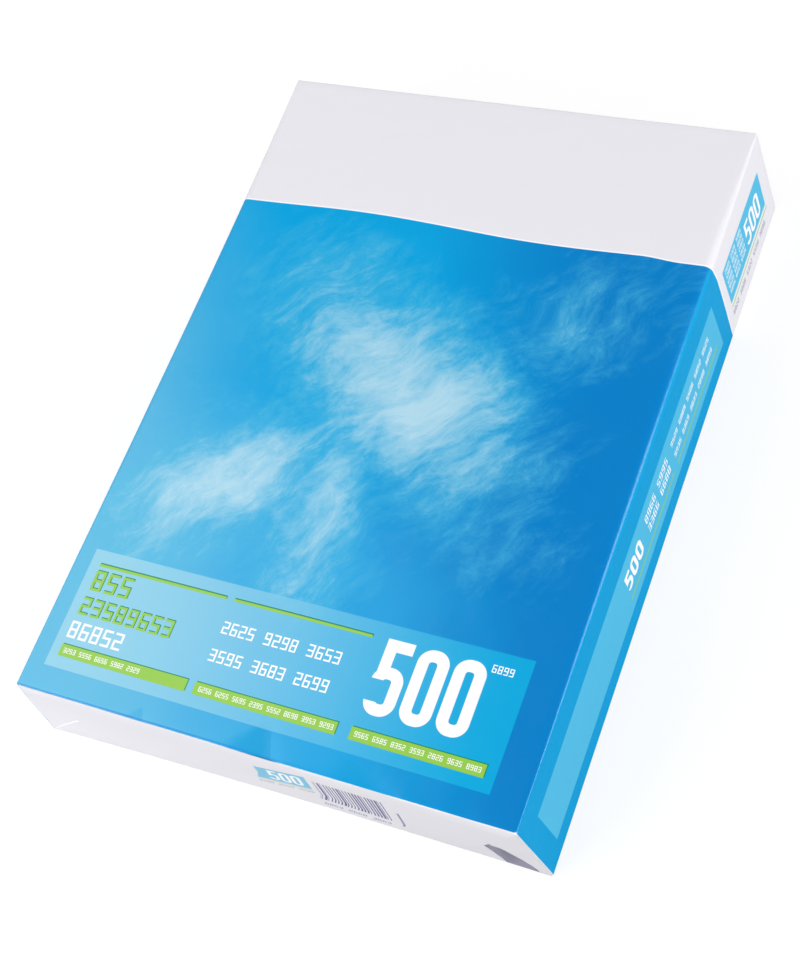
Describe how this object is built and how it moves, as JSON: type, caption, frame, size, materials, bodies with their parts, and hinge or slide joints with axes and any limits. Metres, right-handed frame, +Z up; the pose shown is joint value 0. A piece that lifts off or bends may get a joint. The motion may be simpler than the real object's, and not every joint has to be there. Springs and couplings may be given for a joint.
{
  "type": "ream of paper",
  "caption": "Closed wrapped ream of office paper lying flat, in a glossy sky-blue printed wrapper with a white band, white folded ends and a label panel.",
  "frame": {"origin": "centre of the bounding box, on the underside that the pack lies on", "axes": "+X across the sheets, towards the long side with the printed panel, +Y along the sheets, towards the white band, +Z up through the thickness"},
  "size_m": [0.2216, 0.3014, 0.05],
  "materials": {
    "wrapper": "coated wrapping paper with a sky-blue print, an unprinted white band at one end of the top and white folded ends"
  },
  "bodies": {
    "root": {"wrapped_ream": "wrapper"}
  },
  "joints": []
}
